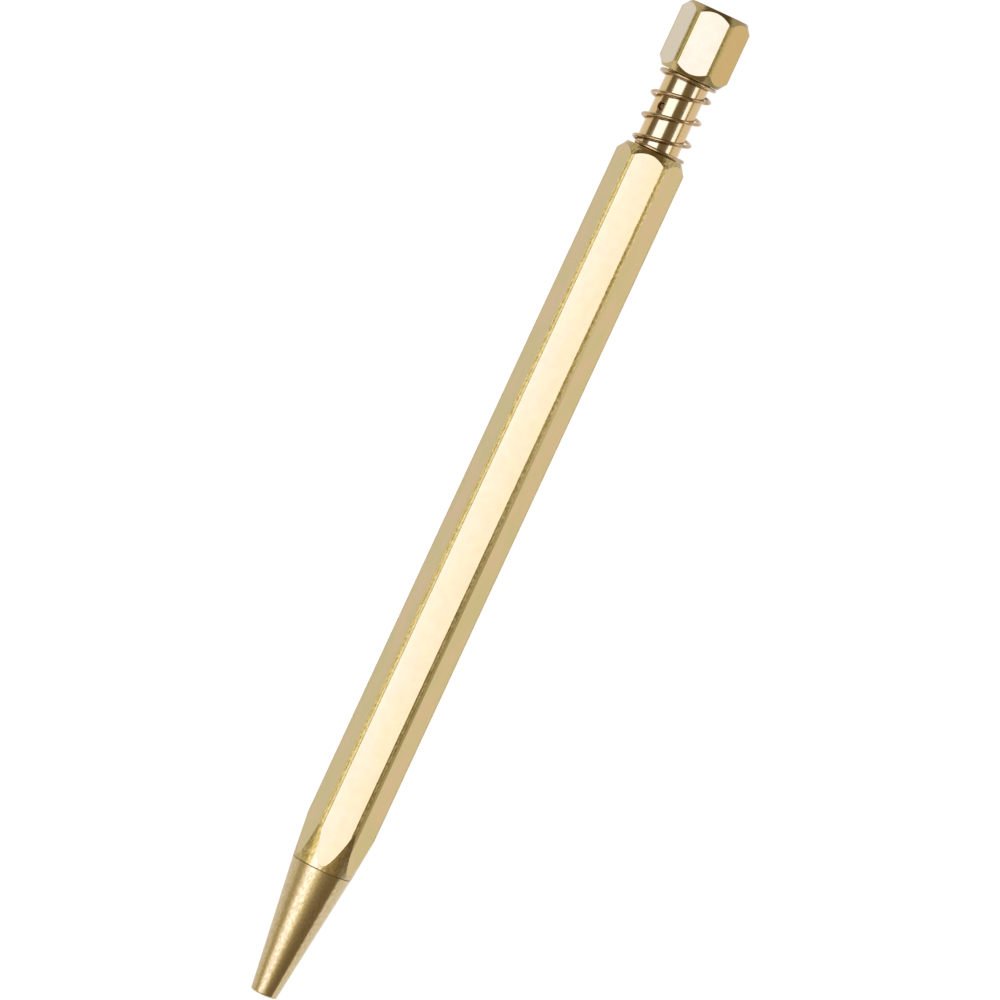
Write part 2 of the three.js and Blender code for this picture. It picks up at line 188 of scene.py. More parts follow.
def turnedEnds(shape):
    # the envelope that a lathe leaves of the bar: a cone at each end, with its rim just broken
    start, end, flat, edgeRound = (shape[name] for name in ("start", "end", "flat", "edgeRound"))
    front, rear = shape["front"], shape["rear"]
    outside = (flat - edgeRound) / math.cos(math.pi / 6) + edgeRound + shape["overhang"]
    frontRadius, rearRadius = flat - front["cut"], flat - rear["cut"]
    frontLength = (outside - frontRadius) / front["slope"]
    rearLength = (outside - rearRadius) / rear["slope"]
    profile = [(start, 0)]
    profile += roundedCorner(start, frontRadius, (0, 1), (1, front["slope"]), front["rim"])
    profile += [(start + frontLength, outside), (end - rearLength, outside)]
    profile += roundedCorner(end, rearRadius, (1, -rear["slope"]), (0, -1), rear["rim"])
    profile += [(end, 0)]
    return turnPiece("envelope", profile, shape["turnSegments"])


def cutThread(piece, shape, start, end):
    # moves the vertices of a finely ringed cylinder in to the flanks of a V thread
    crest, depth, pitch = shape["spigotRadius"], shape["threadDepth"], shape["threadPitch"]
    fade = pitch / 2
    for vertex in piece.data.vertices:
        x, y, z = vertex.co.x / mm, vertex.co.y / mm, vertex.co.z / mm - axisHeight
        radius = math.hypot(y, z)
        if start < x < end and abs(radius - crest) < 0.01:
            turn = math.atan2(z, y) / (2 * math.pi)
            phase = ((x - start) / pitch - turn) % 1
            share = min(1, (x - start) / fade, (end - x) / fade)
            flank = min(1, max(0, 1.15 * (1 - abs(2 * phase - 1)) - 0.08))
            scale = (radius - depth * share * flank) / radius
            vertex.co.y = y * scale * mm
            vertex.co.z = (z * scale + axisHeight) * mm


def rings(start, end, radius, step):
    count = max(1, round((end - start) / step))
    return [(start + (end - start) * i / count, radius) for i in range(count + 1)]


# Node helpers

def newMaterial(name):
    material = bpy.data.materials.new(name)
    material.use_nodes = True
    return material, material.node_tree


def addNode(tree, kind, inputs=None, **settings):
    node = tree.nodes.new(kind)
    for name, value in settings.items():
        setattr(node, name, value)
    for socket, value in (inputs or {}).items():
        if isinstance(value, bpy.types.NodeSocket):
            tree.links.new(value, node.inputs[socket])
        else:
            node.inputs[socket].default_value = value
    return node


def calculate(tree, operation, first, second=0.0, third=0.0):
    node = addNode(tree, "ShaderNodeMath", {0: first, 1: second, 2: third}, operation=operation)
    return node.outputs[0]


def plus(tree, first, second):
    return calculate(tree, "ADD", first, second)


def minus(tree, first, second):
    return calculate(tree, "SUBTRACT", first, second)


def times(tree, first, second):
    return calculate(tree, "MULTIPLY", first, second)


def distance(tree, first, second):
    return calculate(tree, "ABSOLUTE", minus(tree, first, second))


def radiusOf(tree, y, z):
    return calculate(tree, "SQRT", plus(tree, times(tree, y, y), times(tree, z, z)))


def weighted(tree, first, firstWeight, second, secondWeight):
    return plus(tree, times(tree, first, firstWeight), times(tree, second, secondWeight))


def ramp(tree, value, low, high, toLow=0.0, toHigh=1.0):
    node = addNode(
        tree, "ShaderNodeMapRange",
        {"Value": value, "From Min": low, "From Max": high, "To Min": toLow, "To Max": toHigh},
        interpolation_type="SMOOTHSTEP",
    )
    return node.outputs["Result"]


def between(tree, factor, first, second):
    node = addNode(
        tree, "ShaderNodeMapRange", {"Value": factor, "To Min": first, "To Max": second},
        interpolation_type="LINEAR",
    )
    return node.outputs["Result"]


def mixColour(tree, factor, first, second, blend="MIX"):
    colours = {0: factor}
    for socket, value in ((6, first), (7, second)):
        colours[socket] = value if isinstance(value, bpy.types.NodeSocket) else (*value, 1)
    return addNode(tree, "ShaderNodeMix", colours, data_type="RGBA", blend_type=blend).outputs[2]


def layered(tree, colour, *layers):
    # each layer is a share and a colour, and perhaps another way to blend it in
    for share, other, *blend in layers:
        colour = mixColour(tree, share, colour, other, *blend)
    return colour


def noise(tree, vector, scale, detail=2.0, roughness=0.5, distortion=0.0):
    node = addNode(
        tree, "ShaderNodeTexNoise",
        {"Vector": vector, "Scale": scale, "Detail": detail, "Roughness": roughness,
         "Distortion": distortion},
    )
    return node.outputs["Fac"]


def newGroup(name, inputs):
    group = bpy.data.node_groups.new(name, "ShaderNodeTree")
    for socket, value in inputs.items():
        made = group.interface.new_socket(socket, in_out="INPUT", socket_type="NodeSocketFloat")
        made.default_value = value
    return group, group.nodes.new("NodeGroupInput").outputs


def closeGroup(group, **results):
    for socket in results:
        group.interface.new_socket(socket, in_out="OUTPUT", socket_type="NodeSocketFloat")
    addNode(group, "NodeGroupOutput", results)
    return group


def useGroup(tree, group, values):
    node = addNode(tree, "ShaderNodeGroup", node_tree=group)
    for name, value in values.items():
        node.inputs[name].default_value = value
    return node.outputs


def penCoordinates(tree):
    # Object coordinates in millimetres, with the axis of the pen at y = 0 and z = 0
    coordinates = addNode(tree, "ShaderNodeTexCoord").outputs["Object"]
    moved = addNode(
        tree, "ShaderNodeMapping",
        {"Vector": coordinates, "Location": (0, 0, -axisHeight), "Scale": (1 / mm,) * 3},
    ).outputs["Vector"]
    return moved, addNode(tree, "ShaderNodeSeparateXYZ", {"Vector": moved}).outputs


def sidewaysShare(tree, y, z):
    # 0 on the top and bottom of a round piece, 1 on its left side and -1 on its right side
    return calculate(tree, "DIVIDE", y, calculate(tree, "MAXIMUM", radiusOf(tree, y, z), 0.01))


def stretched(tree, vector, scale, rotation=(0, 0, 0)):
    inputs = {"Vector": vector, "Rotation": rotation, "Scale": scale}
    return addNode(tree, "ShaderNodeMapping", inputs).outputs["Vector"]


def combined(tree, x, y, z):
    return addNode(tree, "ShaderNodeCombineXYZ", {"X": x, "Y": y, "Z": z}).outputs["Vector"]


# Surface effects that several materials share

def makeFacetGroup():
    # Facet is 1 on the six flats of a hexagonal bar. Border is the distance to the nearest long edge.
    group, given = newGroup("hexagonFacets", {"Flat": 4.32, "Edge Round": 0.65, "Reach": 0.06})
    vector, (x, y, z) = penCoordinates(group)
    half = times(group, z, 0.5)
    across = times(group, y, math.cos(math.pi / 6))
    upper = calculate(group, "ABSOLUTE", z)
    left = calculate(group, "ABSOLUTE", plus(group, half, across))
    right = distance(group, half, across)
    most = calculate(group, "MAXIMUM", calculate(group, "MAXIMUM", upper, left), right)
    least = calculate(group, "MINIMUM", calculate(group, "MINIMUM", upper, left), right)
    total = plus(group, plus(group, upper, left), right)
    second = minus(group, minus(group, total, most), least)
    depth = minus(group, given["Flat"], most)
    sideways = minus(group, second, times(group, given["Flat"], 0.5))
    sideways = calculate(group, "DIVIDE", sideways, math.cos(math.pi / 6))
    halfWidth = minus(group, given["Flat"], given["Edge Round"])
    halfWidth = times(group, halfWidth, math.tan(math.pi / 6))
    uneven = times(group, noise(group, vector, 2.5), given["Reach"])
    border = minus(group, minus(group, halfWidth, sideways), uneven)
    onFlat = ramp(group, depth, 0.001, 0.004, 1, 0)
    facet = times(group, onFlat, ramp(group, border, 0.0, 0.03))
    return closeGroup(group, Facet=facet, Border=border)


def makeMachinedGroup():
    # 1 on the cones, end faces and bores that the lathe and drill cut into a hexagonal bar
    group, given = newGroup("machinedSurface", {
        "Start": 0.0, "End": 1.0, "Start Radius": 1.0, "Start Slope": 0.1, "End Radius": 1.0,
        "End Slope": 0.1,
    })
    _, (x, y, z) = penCoordinates(group)
    radius = radiusOf(group, y, z)
    fromStart = minus(group, x, given["Start"])
    fromEnd = minus(group, given["End"], x)
    startCone = calculate(group, "MULTIPLY_ADD", fromStart, given["Start Slope"], given["Start Radius"])
    endCone = calculate(group, "MULTIPLY_ADD", fromEnd, given["End Slope"], given["End Radius"])
    below = minus(group, calculate(group, "MINIMUM", startCone, endCone), radius)
    cone = ramp(group, below, 0.004, 0.02, 1, 0)
    face = ramp(group, calculate(group, "MINIMUM", fromStart, fromEnd), 0.02, 0.05, 1, 0)
    bore = ramp(group, minus(group, radius, given["End Radius"]), 0.0, 0.02, 1, 0)
    machined = calculate(group, "MAXIMUM", calculate(group, "MAXIMUM", cone, face), bore)
    return closeGroup(group, Machined=machined)


def makeTurningGroup():
    # rings that a lathe tool leaves, as a height and as a slow change from ring to ring
    group, given = newGroup("turningMarks", {"Rings per mm": 9.0})
    _, (x, y, z) = penCoordinates(group)
    uneven = times(group, calculate(group, "SINE", calculate(group, "ARCTAN2", z, y)), 0.06)
    around = combined(group, x, radiusOf(group, y, z), uneven)
    fine = noise(group, around, given["Rings per mm"], 2.0, 0.6)
    wide = noise(group, around, times(group, given["Rings per mm"], 0.16), 1.0)
    return closeGroup(group, Height=fine, Bands=wide)


def makeGrainGroup():
    # the fine pebbled skin that tumbling and brushing leave on brass, drawn out along the pen
    group, given = newGroup("pebbledGrain", {"Grains per mm": 4.0, "Length Share": 0.8})
    _, (x, y, z) = penCoordinates(group)
    slanted = calculate(group, "MULTIPLY_ADD", y, 0.3, times(group, x, given["Length Share"]))
    drawnOut = combined(group, slanted, y, z)
    grains = given["Grains per mm"]
    grain = noise(group, drawnOut, grains, 3.0, 0.62)
    speckle = noise(group, drawnOut, times(group, grains, 0.8), 2.0, 0.6, 0.4)
    mottle = noise(group, drawnOut, times(group, grains, 0.4), 2.0, 0.55)
    return closeGroup(group, Height=grain, Speckle=ramp(group, speckle, 0.36, 0.66), Mottle=mottle)


def makeHandlingGroup():
    # lengthwise polishing lines, stray scratches and the cloudy patches that handling leaves
    group, given = newGroup("handling", {"Cloud Scale": 0.16})
    vector, _ = penCoordinates(group)
    lines = noise(group, stretched(group, vector, (0.25, 9, 9)), 1.0, 2.0, 0.6)
    slanted = stretched(group, vector, (0.06, 1.6, 1.6), (0.3, 0.5, 0.62))
    thin = ramp(group, distance(group, noise(group, slanted, 1, 0), 0.5), 0.0, 0.004, 1, 0)
    sparse = ramp(group, noise(group, vector, 0.3, 1.0), 0.62, 0.74)
    clouds = noise(group, stretched(group, vector, (0.5, 1, 1)), given["Cloud Scale"], 1.0)
    return closeGroup(
        group, Lines=lines, Scratches=times(group, thin, sparse),
        Clouds=ramp(group, clouds, 0.25, 0.75),
        Smudges=ramp(group, noise(group, vector, 0.75), 0.25, 0.8),
    )


facetGroup = makeFacetGroup()
machinedGroup = makeMachinedGroup()
turningGroup = makeTurningGroup()
grainGroup = makeGrainGroup()
handlingGroup = makeHandlingGroup()
print("stage: surface effects made")


def turningOf(tree, look):
    return useGroup(tree, turningGroup, {"Rings per mm": look["rings"]})


def grainOf(tree, look):
    return useGroup(
        tree, grainGroup, {"Grains per mm": look["grains"], "Length Share": look["grainShare"]}
    )


def handlingOf(tree, look):
    return useGroup(tree, handlingGroup, {"Cloud Scale": look["cloudScale"]})


def finishMaterial(material, colour, roughness, height, metallic=1.0):
    tree = material.node_tree
    inputs = tree.nodes["Principled BSDF"].inputs
    bump = addNode(tree, "ShaderNodeBump", {"Height": height, "Distance": mm, "Strength": 1.0})
    tree.links.new(colour, inputs["Base Color"])
    tree.links.new(roughness, inputs["Roughness"])
    tree.links.new(bump.outputs["Normal"], inputs["Normal"])
    inputs["Metallic"].default_value = metallic
    return material


# Where the finish of a bar changes, each from one place to the next
barZones = {
    # as a share of a flat's half width, and of the distance from the axis to a flat
    "levelRimHighlight": (0.6, 0.85), "upperEdges": (0.5, 0.6),
    # y, which is positive on the left
    "steepSide": (-0.5, 0.5), "side": (-0.6, 0.6), "pale": (0.2, 0.6), "gold": (1.2, 1.9),
    "leftFlank": (2.3, 3.0), "dark": (-3.2, -0.9), "rightFlank": (-3.75, -3.15),
    # depth below the level flat
    "steep": (0.01, 0.05), "innerEdge": (0.004, 0.03), "outerEdge": (0.09, 0.17),
    # distance from the nearest long edge
    "worn": (-0.05, 0.1),
    # distance from the front end, and from the rear end
    "seam": (0.02, 0.07), "rearCone": (2.0, 2.5), "endFace": (0.02, 0.06), "rearRim": (0.06, 0.16),
    "brightEdge": (0, 80),
}


def makeBarBrass(name, look, shape):
    # bar stock: polished flats, pebbled long edges and lathe-turned cones
    material, tree = newMaterial(name)

    def zone(value, place, toLow=0.0, toHigh=1.0):
        return ramp(tree, value, *barZones[place], toLow, toHigh)

    def mix(factor, first, second):
        return mixColour(tree, factor, first, second)

    flat, front, rear = shape["flat"], shape["front"], shape["rear"]
    facets = useGroup(
        tree, facetGroup,
        {"Flat": flat, "Reach": look["edgeReach"], "Edge Round": shape["edgeRound"]},
    )
    machined = useGroup(tree, machinedGroup, {
        "Start": shape["start"], "Start Radius": flat - front["cut"], "Start Slope": front["slope"],
        "End": shape["end"], "End Radius": flat - rear["cut"], "End Slope": rear["slope"],
    })["Machined"]
    handling, grain, turning = handlingOf(tree, look), grainOf(tree, look), turningOf(tree, look)
    _, (x, y, z) = penCoordinates(tree)
    height = calculate(tree, "ABSOLUTE", z)
    depth = minus(tree, flat, height)
    fromFront, fromRear = minus(tree, x, shape["start"]), minus(tree, shape["end"], x)
    right = zone(y, "side", 1, 0)
    upper = ramp(tree, height, *(flat * share for share in barZones["upperEdges"]))

    # painted light and shade: each flat has its own base colour, the level flat paler than the steep
    # ones and one side lighter than the other, and the level flat paler still along its left rim as a
    # painted highlight
    half = flat * math.tan(math.pi / 6)
    level = mix(ramp(tree, y, -half, half), look["levelRight"], look["levelLeft"])
    levelRimHighlight = ramp(tree, y, *(half * share for share in barZones["levelRimHighlight"]))
    level = mix(levelRimHighlight, level, look["levelRimHighlight"])
    isLevel = zone(depth, "steep", 1, 0)
    steep = mix(zone(y, "steepSide"), look["steepRight"], look["steepLeft"])
    cloud = mix(handling["Clouds"], look["cloudGreen"], look["cloudPink"])
    flatColour = layered(
        tree, mix(isLevel, steep, level),
        (ramp(tree, isLevel, 0, 1, 1.0, look["levelClouds"]), cloud, "MULTIPLY"),
        (times(tree, handling["Smudges"], look["smudge"]), look["tarnish"]),
        (zone(facets["Border"], "worn", look["wear"], 0.0), look["wornColour"]),
    )

    # the upper long edges are coloured in three zones, from the level flat down to the steep one:
    # painted shade on the edge of one side and paler painted light on the other, under the grain's
    # speckle
    sides = []
    for inner, middle, outer in (look["leftEdge"], look["rightEdge"]):
        edge = mix(zone(depth, "outerEdge"), middle, outer)
        sides.append(mix(zone(depth, "innerEdge", 1, 0), edge, inner))
    # a painted highlight on the right upper edge, strongest at the rear end and fading out over 80 mm
    brightEdge = zone(fromRear, "brightEdge", look["edgeHighlightShare"], 0.0)
    sides[1] = mix(brightEdge, sides[1], look["edgeBright"])
    edgeColour = mix(upper, look["sideEdge"], mix(right, *sides))
    grainTint = mix(grain["Speckle"], look["grainDark"], (1, 1, 1))
    edgeColour = mixColour(tree, 1.0, edgeColour, grainTint, "MULTIPLY")

    # painted shade: the dark of an upper edge is painted onto the steep flat beside it, less so near the
    # knob, where the edge has its painted highlight
    spread = ramp(tree, facets["Border"], look["spread"] * 0.7, look["spread"], look["spreadShare"], 0.0)
    spread = times(tree, spread, times(tree, zone(depth, "steep"), upper))
    spread = times(tree, spread, ramp(tree, brightEdge, 0, 1, 1, 0))
    flatColour = mix(spread, flatColour, mix(right, look["spreadLeft"], look["spreadRight"]))

    # the front cone from right to left, then the rear cone over it, all painted light and shade by side:
    # a pale painted highlight on the left of the front cone with gold beside it, a dark painted shade on
    # its right, flanks painted darker or paler, and painted shade on the right of the rear cone
    flank, dark, gold = look["rightCone"]
    rightCone = mix(zone(y, "rightFlank"), flank, mix(zone(y, "dark"), dark, gold))
    pale, gold, flank = look["leftCone"]
    leftCone = mix(zone(y, "leftFlank"), mix(zone(y, "gold"), pale, gold), flank)
    isRear = zone(fromRear, "rearCone", 1, 0)
    rearCone = mix(turning["Bands"], *look["rearCone"])
    shaded = times(tree, right, zone(fromRear, "endFace", 0.0, look["rearShade"]))
    rearCone = mix(shaded, rearCone, look["rearDark"])
    # the front cone's painted highlight takes less of the grain's tint
    isPale = times(tree, zone(y, "pale"), zone(y, "gold", 1, 0))
    coneColour = layered(
        tree, mix(isRear, mix(right, leftCone, rightCone), rearCone),
        (ramp(tree, isPale, 0, 1, look["coneTint"], look["paleTint"]), grainTint, "MULTIPLY"),
        (zone(fromFront, "seam", look["grime"], 0.0), look["grimeColour"]),
        (zone(fromRear, "rearRim", look["rimShade"], 0.0), look["rimColour"]),
    )

    def bySurface(combine, flatValue, edgeValue, coneValue):
        return combine(tree, facets["Facet"], combine(tree, machined, edgeValue, coneValue), flatValue)

    flatRough = weighted(tree, handling["Smudges"], 0.03, handling["Lines"], 0.06)
    flatRough = plus(tree, flatRough, look["flatRoughness"])
    edgeRough = between(tree, right, look["leftRoughness"], look["rightRoughness"])
    edgeRough = calculate(tree, "MULTIPLY_ADD", grain["Speckle"], 0.1, edgeRough)
    coneRough = between(tree, isRear, look["coneRoughness"], look["rearRoughness"])
    coneRough = calculate(tree, "MULTIPLY_ADD", turning["Bands"], 0.06, coneRough)
    flatHeight = weighted(
        tree, handling["Lines"], look["lineHeight"], handling["Scratches"], -look["scratchDepth"]
    )
    edgeHeight = times(tree, grain["Height"], look["grainHeight"])
    coneHeight = weighted(
        tree, turning["Height"], look["turnHeight"], grain["Mottle"], look["coneGrain"]
    )
    return finishMaterial(
        material, bySurface(mixColour, flatColour, edgeColour, coneColour),
        bySurface(between, flatRough, edgeRough, coneRough),
        bySurface(between, flatHeight, edgeHeight, coneHeight),
    )


def makeTurnedBrass(name, look):
    # satin brass straight off the lathe
    material, tree = newMaterial(name)
    handling, grain, turning = handlingOf(tree, look), grainOf(tree, look), turningOf(tree, look)
    _, (x, y, z) = penCoordinates(tree)
    side = sidewaysShare(tree, y, z)
    away = distance(tree, side, look["highlightAt"])
    fromSeam = distance(tree, x, look["seamAt"])
    # a painted highlight along the upper left, paler there, with a golden painted fringe on both sides
    # of it
    colour = layered(
        tree, look["colour"], (handling["Clouds"], look["cloud"]),
        (times(tree, turning["Bands"], look["bands"]), look["light"]),
        (ramp(tree, away, *look["goldZone"], 0.0), look["gold"]),
        (ramp(tree, away, *look["sheenZone"], 0.0), look["sheen"]),
        (times(tree, grain["Speckle"], look["speckle"]), look["dark"]),
        (ramp(tree, fromSeam, *barZones["seam"], look["grime"], 0.0), look["grimeColour"]),
    )
    rough = weighted(tree, grain["Speckle"], 0.05, turning["Bands"], 0.04)
    smooth = ramp(tree, side, -0.6, -0.25, look["rightRoughness"], look["roughness"])
    height = weighted(tree, turning["Height"], look["turnHeight"], grain["Mottle"], look["mottleHeight"])
    height = calculate(tree, "MULTIPLY_ADD", grain["Height"], look["grainHeight"], height)
    return finishMaterial(material, colour, plus(tree, rough, smooth), height)


def makePolishedMetal(name, look):
    # polished metal with faint lathe or drawing marks and a breath of tarnish; the tube's look adds
    # painted light and shade across it
    material, tree = newMaterial(name)
    handling, turning = handlingOf(tree, look), turningOf(tree, look)
    colour = mixColour(tree, handling["Clouds"], look["colour"], look["cloud"])
    _, (x, y, z) = penCoordinates(tree)
    side = sidewaysShare(tree, y, z)
    # painted light: the base stays pale where the highlights fall and turns a deeper tan on the flanks
    flank = ramp(tree, calculate(tree, "ABSOLUTE", side), 0.5, 0.64)
    colour = mixColour(tree, flank, colour, look.get("flank", look["colour"]))
    # painted shade: darker bands where the tube mirrors dark surroundings
    for middle, low, high in look.get("paintedShadeBands", ()):
        band = ramp(tree, distance(tree, side, middle), low, high, look["bandShare"], 0.0)
        colour = mixColour(tree, band, colour, look["dark"])
    colour = mixColour(tree, times(tree, handling["Smudges"], look["smudge"]), colour, look["dark"])
    rough = calculate(tree, "MULTIPLY_ADD", handling["Smudges"], 0.07, look["roughness"])
    height = weighted(tree, turning["Height"], look["turnHeight"], handling["Lines"], look["lineHeight"])
    return finishMaterial(material, colour, rough, height)


def makePlastic(name, look):
    # moulded plastic: a slight waxy unevenness over the mould's fine grain
    material, tree = newMaterial(name)
    handling, grain = handlingOf(tree, look), grainOf(tree, look)
    colour = mixColour(tree, handling["Clouds"], look["colour"], look["cloud"])
    rough = calculate(tree, "MULTIPLY_ADD", handling["Smudges"], 0.1, look["roughness"])
    height = times(tree, grain["Height"], look["grainHeight"])
    return finishMaterial(material, colour, rough, height, metallic=0.0)


barShape = {
    "edgeSegments": 24, "turnSegments": 256, "boreSegments": 96, "overhang": 0.1, "smoothAngle": 3.6,
}
barrelShape = {
    **barShape, "start": barrelAt, "end": barrelEnd, "flat": barrelFlat, "edgeRound": 0.65,
    "front": {"cut": 0.055, "slope": 0.1, "rim": 0.05},
    "rear": {"cut": 0.37, "slope": 0.65, "rim": 0.06},
    "threadLength": 8.44, "threadDepth": 0.2, "topWall": 2.1, "mouth": 0.15,
}
knobShape = {
    **barShape, "start": knobAt, "end": knobEnd, "flat": knobFlat, "edgeRound": 0.7,
    "front": {"cut": 0.28, "slope": 0.68, "rim": 0.07},
    "rear": {"cut": 0.28, "slope": 0.68, "rim": 0.07},
    "socketDepth": 5,
}
barLook = {
    "cloudScale": 0.45, "levelClouds": 0.4, "smudge": 0.02, "tarnish": (0.58, 0.47, 0.27),
    "wear": 0.2, "wornColour": (0.74, 0.62, 0.36), "edgeReach": 0.03, "paleTint": 0.25,
    "rimColour": (0.22, 0.14, 0.06), "grains": 4.0, "rings": 9.0, "flatRoughness": 0.15,
    "rearRoughness": 0.14, "lineHeight": 0.0004, "scratchDepth": 0.0005, "turnHeight": 0.002,
    "edgeBright": (0.97, 0.78, 0.37), "rearDark": (0.24, 0.175, 0.075), "grimeColour": (0.36, 0.2, 0.05),
}
barrelLook = {
    **barLook, "grainShare": 0.6,
    "levelLeft": (0.68, 0.565, 0.43), "levelRight": (0.68, 0.53, 0.35), "levelRimHighlight": (0.68, 0.58, 0.42),
    "steepLeft": (0.575, 0.455, 0.24), "steepRight": (0.62, 0.48, 0.236),
    "cloudGreen": (0.93, 0.99, 0.9), "cloudPink": (1.04, 0.97, 1.06),
    "leftEdge": ((0.72, 0.61, 0.34), (0.98, 0.8, 0.37), (1.0, 0.83, 0.39)),
    "rightEdge": ((0.34, 0.265, 0.1), (0.9, 0.78, 0.38), (0.46, 0.34, 0.12)),
    "sideEdge": (0.66, 0.52, 0.26), "grainDark": (0.7, 0.66, 0.52),
    "edgeHighlightShare": 1.0, "spread": 0.56, "spreadShare": 1.0,
    "spreadLeft": (0.57, 0.42, 0.18), "spreadRight": (0.32, 0.23, 0.08),
    "leftCone": ((0.8, 0.68, 0.54), (0.94, 0.75, 0.31), (0.6, 0.46, 0.2)),
    "rightCone": ((0.72, 0.58, 0.36), (0.4, 0.31, 0.17), (0.98, 0.76, 0.36)),
    "rearCone": ((0.4, 0.3, 0.12), (0.6, 0.46, 0.22)), "rearShade": 0.0, "rimShade": 0.0,
    "grime": 0.35,
    "coneTint": 1.0, "leftRoughness": 0.46, "rightRoughness": 0.4, "coneRoughness": 0.33,
    "grainHeight": 0.03, "coneGrain": 0.06,
}
knobLook = {
    **barLook, "grainShare": 0.7,
    "levelLeft": (0.66, 0.58, 0.5), "levelRight": (0.66, 0.57, 0.465), "levelRimHighlight": (0.66, 0.57, 0.4),
    "steepLeft": (0.64, 0.565, 0.43), "steepRight": (0.585, 0.405, 0.16),
    "cloudGreen": (0.98, 0.99, 0.97), "cloudPink": (1.01, 0.985, 1.01),
    "leftEdge": ((0.36, 0.28, 0.1), (0.42, 0.335, 0.12), (0.54, 0.43, 0.19)),
    "rightEdge": ((0.6, 0.49, 0.22), (0.66, 0.53, 0.22), (0.66, 0.5, 0.2)),
    "sideEdge": (0.62, 0.48, 0.22), "grainDark": (0.8, 0.78, 0.7),
    "edgeHighlightShare": 0.0, "spread": 0.3, "spreadShare": 0.4,
    "spreadLeft": (0.5, 0.4, 0.2), "spreadRight": (0.46, 0.345, 0.13),
    "leftCone": ((0.46, 0.355, 0.15), (0.6, 0.46, 0.21), (0.5, 0.385, 0.17)),
    "rightCone": ((0.25, 0.185, 0.075), (0.25, 0.185, 0.075), (0.58, 0.45, 0.2)),
    "rearCone": ((0.38, 0.29, 0.12), (0.52, 0.4, 0.19)), "rearShade": 0.6, "rimShade": 0.8,
    "grime": 0.0,
    "coneTint": 0.5, "leftRoughness": 0.42, "rightRoughness": 0.42, "coneRoughness": 0.14,
    "grainHeight": 0.018, "coneGrain": 0.012,
}
noseLook = {
    "cloudScale": 0.3, "grains": 5.0, "grainShare": 0.5, "rings": 9.0, "colour": (0.66, 0.52, 0.33),
    "cloud": (0.61, 0.5, 0.28), "dark": (0.42, 0.31, 0.13), "speckle": 0.5,
    "light": (0.68, 0.53, 0.33), "bands": 0.4, "gold": (0.7, 0.53, 0.23), "sheen": (0.88, 0.73, 0.54),
    "highlightAt": 0.22, "goldZone": (0.42, 0.6, 0.85), "sheenZone": (0.08, 0.26, 0.9),
    "roughness": 0.35, "rightRoughness": 0.14, "turnHeight": 0.002, "grainHeight": 0.006,
    "mottleHeight": 0.006, "seamAt": tipAt + 18.75, "grime": 0.5, "grimeColour": (0.3, 0.18, 0.06),
}
# painted shade bands on the tube: the middle of each as a share of the way to the side, and the reach of
# its dark and its fade
metalLooks = {
    "tubeBrass": {
        "cloudScale": 0.3, "rings": 7.0, "colour": (0.69, 0.6, 0.49), "cloud": (0.69, 0.59, 0.44),
        "flank": (0.65, 0.47, 0.24), "smudge": 0.15, "dark": (0.54, 0.4, 0.2), "roughness": 0.14,
        "paintedShadeBands": ((0.57, 0.05, 0.14), (-0.21, 0.09, 0.21)), "bandShare": 0.85,
        "turnHeight": 0.0015, "lineHeight": 0.0,
    },
    "springWire": {
        "cloudScale": 0.6, "rings": 5.0, "colour": (0.62, 0.43, 0.25), "cloud": (0.5, 0.38, 0.2),
        "smudge": 0.75, "dark": (0.24, 0.16, 0.07), "roughness": 0.18, "turnHeight": 0.0,
        "lineHeight": 0.001,
    },
    "drawnSteel": {
        "cloudScale": 0.3, "rings": 8.0, "colour": (0.56, 0.55, 0.54), "cloud": (0.6, 0.6, 0.6),
        "smudge": 0.2, "dark": (0.4, 0.4, 0.4), "roughness": 0.24, "turnHeight": 0.002,
        "lineHeight": 0.0006,
    },
    "darkPin": {
        "cloudScale": 0.5, "rings": 8.0, "colour": (0.42, 0.26, 0.16), "cloud": (0.36, 0.24, 0.16),
        "smudge": 0.4, "dark": (0.2, 0.12, 0.08), "roughness": 0.35, "turnHeight": 0.003,
        "lineHeight": 0.001,
    },
    "nickelSilver": {
        "cloudScale": 0.4, "rings": 10.0, "colour": (0.66, 0.63, 0.55), "cloud": (0.7, 0.67, 0.58),
        "smudge": 0.2, "dark": (0.5, 0.47, 0.4), "roughness": 0.16, "turnHeight": 0.004,
        "lineHeight": 0.0,
    },
    "hardBall": {
        "cloudScale": 0.5, "rings": 8.0, "colour": (0.74, 0.75, 0.77), "cloud": (0.7, 0.71, 0.74),
        "smudge": 0.1, "dark": (0.5, 0.5, 0.52), "roughness": 0.06, "turnHeight": 0.0,
        "lineHeight": 0.0003,
    },
}
plasticLooks = {
    "acetal": {
        "cloudScale": 0.3, "grains": 6.0, "grainShare": 1.0, "colour": (0.78, 0.77, 0.73),
        "cloud": (0.74, 0.72, 0.66), "roughness": 0.42, "grainHeight": 0.004,
    },
    "inkPaste": {
        "cloudScale": 0.3, "grains": 3.0, "grainShare": 1.0, "colour": (0.012, 0.018, 0.08),
        "cloud": (0.01, 0.012, 0.05), "roughness": 0.2, "grainHeight": 0.002,
    },
}

barrelBrass = makeBarBrass("barrelBrass", barrelLook, barrelShape)
knobBrass = makeBarBrass("knobBrass", knobLook, knobShape)
noseBrass = makeTurnedBrass("noseBrass", noseLook)
metals = {name: makePolishedMetal(name, look) for name, look in metalLooks.items()}
plastics = {name: makePlastic(name, look) for name, look in plasticLooks.items()}
print("stage: materials made")


def setMaterial(piece, material):
    piece.data.materials.clear()
    piece.data.materials.append(material)


def finishPiece(piece, material, body, slot, *nodes):
    setMaterial(piece, material)
    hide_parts(*nodes)
    if body:
        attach(piece, body)


# Barrel and knob

